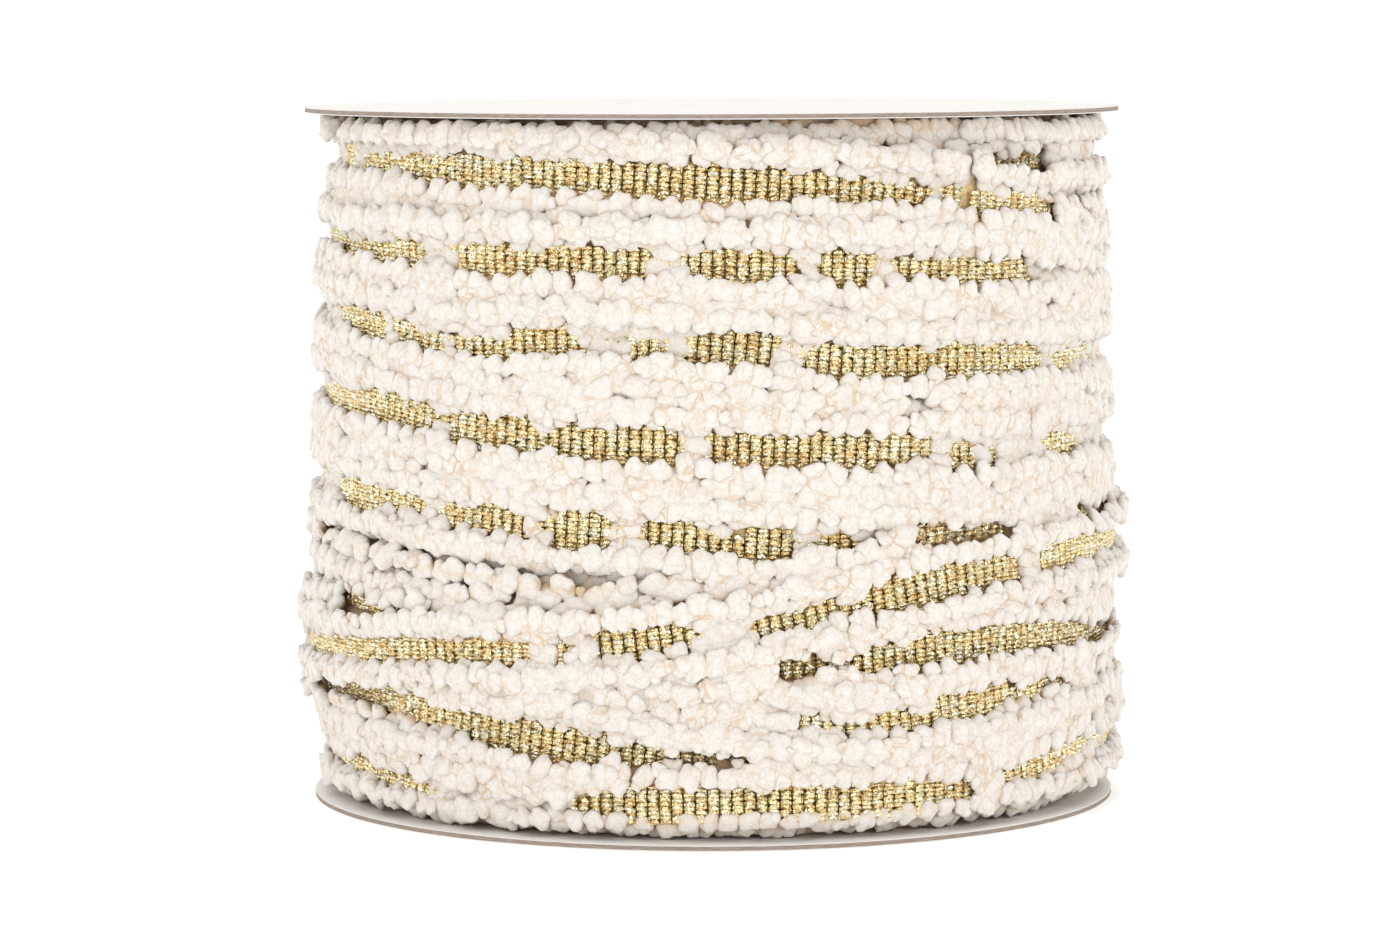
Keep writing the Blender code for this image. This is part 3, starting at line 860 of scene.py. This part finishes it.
def lowestNear():  # the lowest radius near each place of the map, so that tufts overhang the bed at steps
    radius = wound["radius"]
    lowest = radius.copy()
    aside, up = fluff["bedRetreats"]
    for step in range(1, round(up / surfaceMap["heightStep"]) + 1):
        lowest[step:] = np.minimum(lowest[step:], radius[:-step])
        lowest[:-step] = np.minimum(lowest[:-step], radius[step:])
    reach = round(aside / surfaceMap["azimuthStep"])
    return np.minimum.reduce([np.roll(lowest, shift, axis=1) for shift in range(-reach, reach + 1)])


def makeBed():  # the roots that the tufts stand on, a little below their tips, painted with shade by their depth
    wound["lowest"] = lowestNear()
    roundSteps, heightSteps = fluff["bedSteps"]
    rows = []
    for i in range(heightSteps + 1):
        height = floorHeight + 0.2 + (ceilingHeight - floorHeight - 0.4) * i / heightSteps
        row = []
        for j in range(roundSteps):
            azimuth = 360.0 * j / roundSteps - 180.0
            wave = fluff["bedWave"] * math.sin(azimuth * 1.7 + height * 3.3)
            depth = fluff["bedDepth"] + wave * math.sin(height * 2.1)
            row.append(placeOf(azimuth, float(lookUp("lowest", azimuth, height)) - depth, height))
        rows.append(row)
    piece = roundGrid("fluff_bed", roundSteps, rows)
    markPaintedShade(piece)
    fluffPieces.append(piece)


addTeeth()
print("teeth:", len(placedTufts))
addCollar()
addFill()
print("tufts:", len(placedTufts))
addCrumbs()
print("with crumbs:", len(placedTufts))
joinTufts()
makeBed()


# The woven gold middle
weave = {
    "columnPitch": 1.38,  # mm along the trim
    "rowPitch": 0.52,  # mm across it
    "halfAlong": 0.69,
    "halfAcross": 0.41,
    "halfOut": 0.42,
    "chevron": 0.42,  # how far the strands slant
    "underFluff": 0.9,  # how far the rows run on under the tufts
    "shownPast": 0.45,  # and how far they do so where a later turn lies over them
    "openNear": (-2.5, 0.0, 2.5),  # degrees: a column shows where its opening, or one this near, is open
    "groundSag": 0.9,  # the strip's edges lie lower, under the tufts
    "groundRise": 0.1,
    "groundThickness": 0.35,
    "groundStep": 3.0,  # degrees
    "groundPoints": 7,  # across the strip
    "groundDips": (3.0, 1.0),  # mm off the middle, where it stays this far under the lowest place near
}


def modelStitch():  # two short strands that meet in a shallow chevron
    deselectAll()
    bpy.ops.mesh.primitive_cube_add(size=2.0)
    item = bpy.context.object
    bpy.ops.object.mode_set(mode="EDIT")
    bpy.ops.mesh.select_all(action="SELECT")
    bpy.ops.mesh.bisect(plane_co=(0, 0, 0), plane_no=(1, 0, 0))
    bpy.ops.object.mode_set(mode="OBJECT")
    for vertex in item.data.vertices:
        end = abs(vertex.co.x)
        vertex.co.y = vertex.co.y * (1.0 - 0.25 * end) + weave["chevron"] * (0.5 - end)
        vertex.co.z = vertex.co.z * (1.0 - 0.3 * end) + (0.35 if end < 0.5 else 0.0)
        if vertex.co.z > 0:
            vertex.co.y += (weave["chevron"] * (0.5 - end) - vertex.co.y) * 0.45
            vertex.co.x *= 0.87
    return takeShape(item)


def stitchesOf(start, end):
    copies = []
    turned = start
    while turned < end:
        below, above = goldEdges(turned)
        opening = max(sum(goldEdges(turned + shift)) for shift in weave["openNear"])
        first = math.ceil(-(below + weave["underFluff"]) / weave["rowPitch"])
        last = math.floor((above + weave["underFluff"]) / weave["rowPitch"])
        if opening < winding["closedUnder"]:
            last = first - 1
        lay = layRadiusAt(turned)
        slope = slopeAt(turned)
        turn = round(turned / 360)
        for row in range(first, last + 1):
            offset = row * weave["rowPitch"] + rng.uniform(-0.04, 0.04)
            azimuth = turned - math.degrees(offset * math.sin(slope) / lay)
            height = heightAt(turned) + offset * math.cos(slope)
            shown = -below - weave["shownPast"] < offset < above + weave["shownPast"]
            if not shown and lookUp("owner", (azimuth + 180) % 360 - 180, height) != turn:
                continue
            a = math.radians(azimuth)
            outward = Vector((math.sin(a), -math.cos(a), 0.0))
            along = Vector((math.cos(a) * math.cos(slope), math.sin(a) * math.cos(slope), math.sin(slope)))
            spin = Matrix.Rotation(rng.uniform(-0.2, 0.2), 3, outward)
            roll = Matrix.Rotation(rng.uniform(-0.5, 0.5), 3, along)
            along, across, outward = spin @ along, roll @ outward.cross(along), roll @ outward
            radius = min(lay + winding["pileHeight"] * winding["wovenShare"] + rng.uniform(-0.06, 0.06),
                         float(shoulderLimit(azimuth, height)) - 0.3)
            sizes = (weave["halfAlong"] * rng.uniform(0.94, 1.05), weave["halfAcross"], weave["halfOut"])
            place = placeOf(azimuth, radius - weave["halfOut"], height)
            copies.append((0, place, along, across, outward, sizes, rng.random()))
        turned += math.degrees(weave["columnPitch"] / lay)
    return copies


stitchShapes = [modelStitch()]
weavePieces = []
turnBreaks = [360 * turn - 180 for turn in range(1, len(winding["heights"]))]
turnBreaks = [pathTurned[0], *turnBreaks, pathTurned[-1]]
for turn, (start, end) in enumerate(zip(turnBreaks, turnBreaks[1:])):
    copies = stitchesOf(start, end)
    points, triangles, shades = joinCopies(stitchShapes, copies)
    piece = meshPiece(f"weave_turn_{turn}", points, triangles, finishes["gold"], {"shade": shades})
    weavePieces.append(piece)
    print(piece.name, len(copies), "stitches,", len(triangles), "triangles")


def makeGround():  # the woven strip itself, as long as the whole winding
    places = np.arange(pathTurned[0], pathTurned[-1], weave["groundStep"])
    wide = weave["groundPoints"]
    offsets = np.linspace(-halfWidth, halfWidth, wide)
    dipsFrom, dip = weave["groundDips"]
    points, edges, length, last = [], [], 0.0, None
    for turned in places:
        lay = layRadiusAt(turned)
        slope = slopeAt(turned)
        for offset in offsets:
            azimuth = turned - math.degrees(offset * math.sin(slope) / lay)
            height = heightAt(turned) + offset * math.cos(slope)
            height = min(max(height, floorHeight + 0.1), ceilingHeight - 0.1)
            sag = weave["groundSag"] * (abs(offset) / halfWidth) ** 3
            edges.append(abs(offset) / halfWidth)
            radius = min(lay + weave["groundRise"] - sag, float(shoulderLimit(azimuth, height)) - 0.6)
            if abs(offset) > dipsFrom:
                radius = min(radius, float(lookUp("lowest", (azimuth + 180) % 360 - 180, height)) - dip)
            points.append(placeOf(azimuth, radius, height))
        middle = placeOf(turned, lay, heightAt(turned))
        length += (middle - last).length if last is not None else 0.0
        last = middle
    triangles = []
    for i in range(len(places) - 1):
        for a in range(i * wide, (i + 1) * wide - 1):
            triangles += [(a, a + wide, a + wide + 1), (a, a + wide + 1, a + 1)]
    points = [tuple(point) for point in points]
    piece = meshPiece("ground_strip", points, triangles, finishes["ground"], {"edge": edges})
    thicken = piece.modifiers.new("thickness", "SOLIDIFY")
    thicken.thickness = weave["groundThickness"] * mm
    thicken.offset = -1.0
    deselectAll()
    piece.select_set(True)
    bpy.context.view_layer.objects.active = piece
    bpy.ops.object.modifier_apply(modifier="thickness")
    return piece, length * mm


groundStrip, trimLength = makeGround()
print("trim length in m:", round(trimLength, 3))


coreShape = {
    "steps": (180, 50),
    "room": 0.3,  # mm to the discs
    "wave": 0.3,
    "shadeDepth": 0.9,  # its depth value, which paints it with the fluff's shaded colour
}


def makeCore():  # the layers under the outer turns, closed against the discs, painted in shade
    roundSteps, heightSteps = coreShape["steps"]
    rows = []
    for i in range(heightSteps + 1):
        room = coreShape["room"]
        height = floorHeight + room + (ceilingHeight - floorHeight - 2 * room) * i / heightSteps
        row = []
        for j in range(roundSteps):
            azimuth = 360.0 * j / roundSteps
            limit = float(shoulderLimit(azimuth, height)) - 1.0
            wave = coreShape["wave"] * math.sin(azimuth * 1.86 + height * 2.3)
            radius = min(barrelRadius(height) - winding["coreDrop"], limit)
            radius += wave * math.sin(height * 3.1 + azimuth)
            row.append(placeOf(azimuth, radius, height))
        rows.append(row)
    count = (heightSteps + 1) * roundSteps + 2
    return roundGrid("under_layers", roundSteps, rows, {"depth": [coreShape["shadeDepth"]] * count})


core = makeCore()


# Card discs, turned from the section of a die-cut board
disc = {
    "steps": 320,
    "lip": 0.05,  # mm that the board stands back from its two paper facings
    "facing": 0.11,
    "soften": 0.06,
    "nickDepth": 0.22,
}


def makeDisc(name, node, nickAt):
    low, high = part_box(node)
    radius, bottom, top = high.x / mm, low.z / mm, high.z / mm
    section = (
        (0.0, top), (radius * 0.5, top), (radius - 2.0, top), (radius - disc["soften"], top),
        (radius, top - disc["soften"]), (radius, top - disc["facing"]),
        (radius - disc["lip"], top - disc["facing"] - 0.03), (radius - disc["lip"] * 1.2, (top + bottom) / 2),
        (radius - disc["lip"], bottom + disc["facing"] + 0.03), (radius, bottom + disc["facing"]),
        (radius, bottom + disc["soften"]), (radius - disc["soften"], bottom), (radius - 2.0, bottom),
        (radius * 0.5, bottom), (0.0, bottom),
    )
    mesh = bpy.data.meshes.new(name)
    edges = [(i, i + 1) for i in range(len(section) - 1)]
    mesh.from_pydata([(r * mm, 0.0, z * mm) for r, z in section], edges, [])
    piece = bpy.data.objects.new(name, mesh)
    bpy.context.collection.objects.link(piece)
    deselectAll()
    piece.select_set(True)
    bpy.context.view_layer.objects.active = piece
    bpy.ops.object.mode_set(mode="EDIT")
    bpy.ops.mesh.select_all(action="SELECT")
    bpy.ops.mesh.spin(steps=disc["steps"], angle=2 * math.pi, center=(0, 0, 0), axis=(0, 0, 1))
    bpy.ops.mesh.select_all(action="SELECT")
    bpy.ops.mesh.remove_doubles(threshold=0.01 * mm)
    bpy.ops.mesh.normals_make_consistent(inside=False)
    bpy.ops.object.mode_set(mode="OBJECT")
    rim = (radius - 1.0) * mm
    for vertex in piece.data.vertices:  # a die nick, and the slight unevenness of a cut edge
        reach = math.hypot(vertex.co.x, vertex.co.y)
        if reach > rim:
            azimuth = math.degrees(math.atan2(vertex.co.x, -vertex.co.y))
            nick = max(0.0, 1.0 - abs(azimuth - nickAt) / 0.9) * disc["nickDepth"]
            uneven = 0.02 * math.sin(azimuth * 1.7) + 0.015 * math.sin(azimuth * 4.3 + vertex.co.z / mm)
            share = 1.0 - (nick + uneven + 0.035) * mm / reach
            vertex.co.x *= share
            vertex.co.y *= share
    mesh.materials.append(finishes["card"])
    mesh.materials.append(finishes["board"])
    edgeLow, edgeHigh = (bottom + disc["facing"] - 0.01) * mm, (top - disc["facing"] + 0.01) * mm
    for face in mesh.polygons:
        face.material_index = int(edgeLow < face.center.z < edgeHigh)
    mesh.shade_smooth()
    mesh.set_sharp_from_angle(angle=math.radians(50))
    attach(piece, "root")
    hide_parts(node)
    return piece


upperDisc = makeDisc("card_upper", "upper_disc", 59.8)
lowerDisc = makeDisc("card_lower", "lower_disc", -21.9)
print("discs made")

for piece in fluffPieces + [core]:
    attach(piece, "root")
for piece in weavePieces + [groundStrip]:
    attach(piece, "root")
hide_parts("wound_trim")


# Floor, light and camera
studio = {
    "floorColour": (0.95, 0.95, 0.95),
    "floorSize": 12.0,
    "floorGlow": 0.2,
    "sky": 1.1,
    "skyInFront": 0.85,  # the side the camera looks from is dimmer, which gives the gold its darks
    "keyPower": 1.1,
    "fillPower": 1.2,
    "topPower": 1.4,
}


def makeFloor():
    deselectAll()
    bpy.ops.mesh.primitive_plane_add(size=studio["floorSize"], location=(0, studio["floorSize"] * 0.3, 0))
    floor = bpy.context.object
    floor.name = "floor"
    material, tree, shader = startMaterial("floorPaper")
    shader.inputs["Base Color"].default_value = (*studio["floorColour"], 1.0)
    shader.inputs["Roughness"].default_value = 0.8
    shader.inputs["Emission Color"].default_value = (1.0, 1.0, 1.0, 1.0)
    shader.inputs["Emission Strength"].default_value = studio["floorGlow"]
    floor.data.materials.append(material)


def addArea(name, place, target, size, power):
    light = bpy.data.lights.new(name, "AREA")
    light.shape = "DISK"
    light.size = size
    light.energy = power
    item = bpy.data.objects.new(name, light)
    bpy.context.collection.objects.link(item)
    item.location = place
    item.rotation_euler = (Vector(target) - Vector(place)).to_track_quat("-Z", "Y").to_euler()


def makeStudio():
    world = bpy.data.worlds.new("studio")
    world.use_nodes = True
    tree = world.node_tree
    direction = addNode(tree, "ShaderNodeTexCoord").outputs["Generated"]
    frontness = addNode(tree, "ShaderNodeSeparateXYZ", {"Vector": direction}).outputs["Y"]
    span = {"From Min": -0.9, "From Max": -0.3, "To Min": studio["skyInFront"], "To Max": studio["sky"]}
    strength = addNode(tree, "ShaderNodeMapRange", {"Value": frontness, **span},
                       interpolation_type="SMOOTHSTEP").outputs["Result"]
    background = tree.nodes["Background"]
    background.inputs["Color"].default_value = (1.0, 1.0, 1.0, 1.0)
    tree.links.new(strength, background.inputs["Strength"])
    bpy.context.scene.world = world
    addArea("keyLight", (-0.5, -0.75, 0.38), (0, 0, 0.04), 0.4, studio["keyPower"])
    addArea("fillLight", (0.55, -0.8, 0.16), (0, 0, 0.04), 0.4, studio["fillPower"])
    addArea("topLight", (0.0, 0.05, 0.9), (0, 0, 0.04), 0.6, studio["topPower"])
    bpy.context.scene.view_settings.view_transform = "Standard"


view = {
    "place": (-1.555, -640.87, 97.0),  # mm
    "pitch": 0.0885,  # radians below the horizontal
    "roll": -0.0027,
    "focal": 5195.6,  # in the photo's pixels
    "photoWidth": 1400,
}


def makeCamera():
    camera = bpy.data.cameras.new("camera")
    camera.sensor_width = 36.0
    camera.lens = camera.sensor_width * view["focal"] / view["photoWidth"]
    camera.clip_start = 0.05
    camera.clip_end = 50.0
    item = bpy.data.objects.new("camera", camera)
    bpy.context.collection.objects.link(item)
    turn = Matrix.Rotation(math.pi / 2 - view["pitch"], 4, "X") @ Matrix.Rotation(view["roll"], 4, "Z")
    item.matrix_world = Matrix.Translation(Vector(view["place"]) * mm) @ turn
    bpy.context.scene.camera = item


makeFloor()
makeStudio()
makeCamera()
total = sum(len(p.data.polygons) for p in fluffPieces + weavePieces + [groundStrip, core])
print("faces in all:", total)
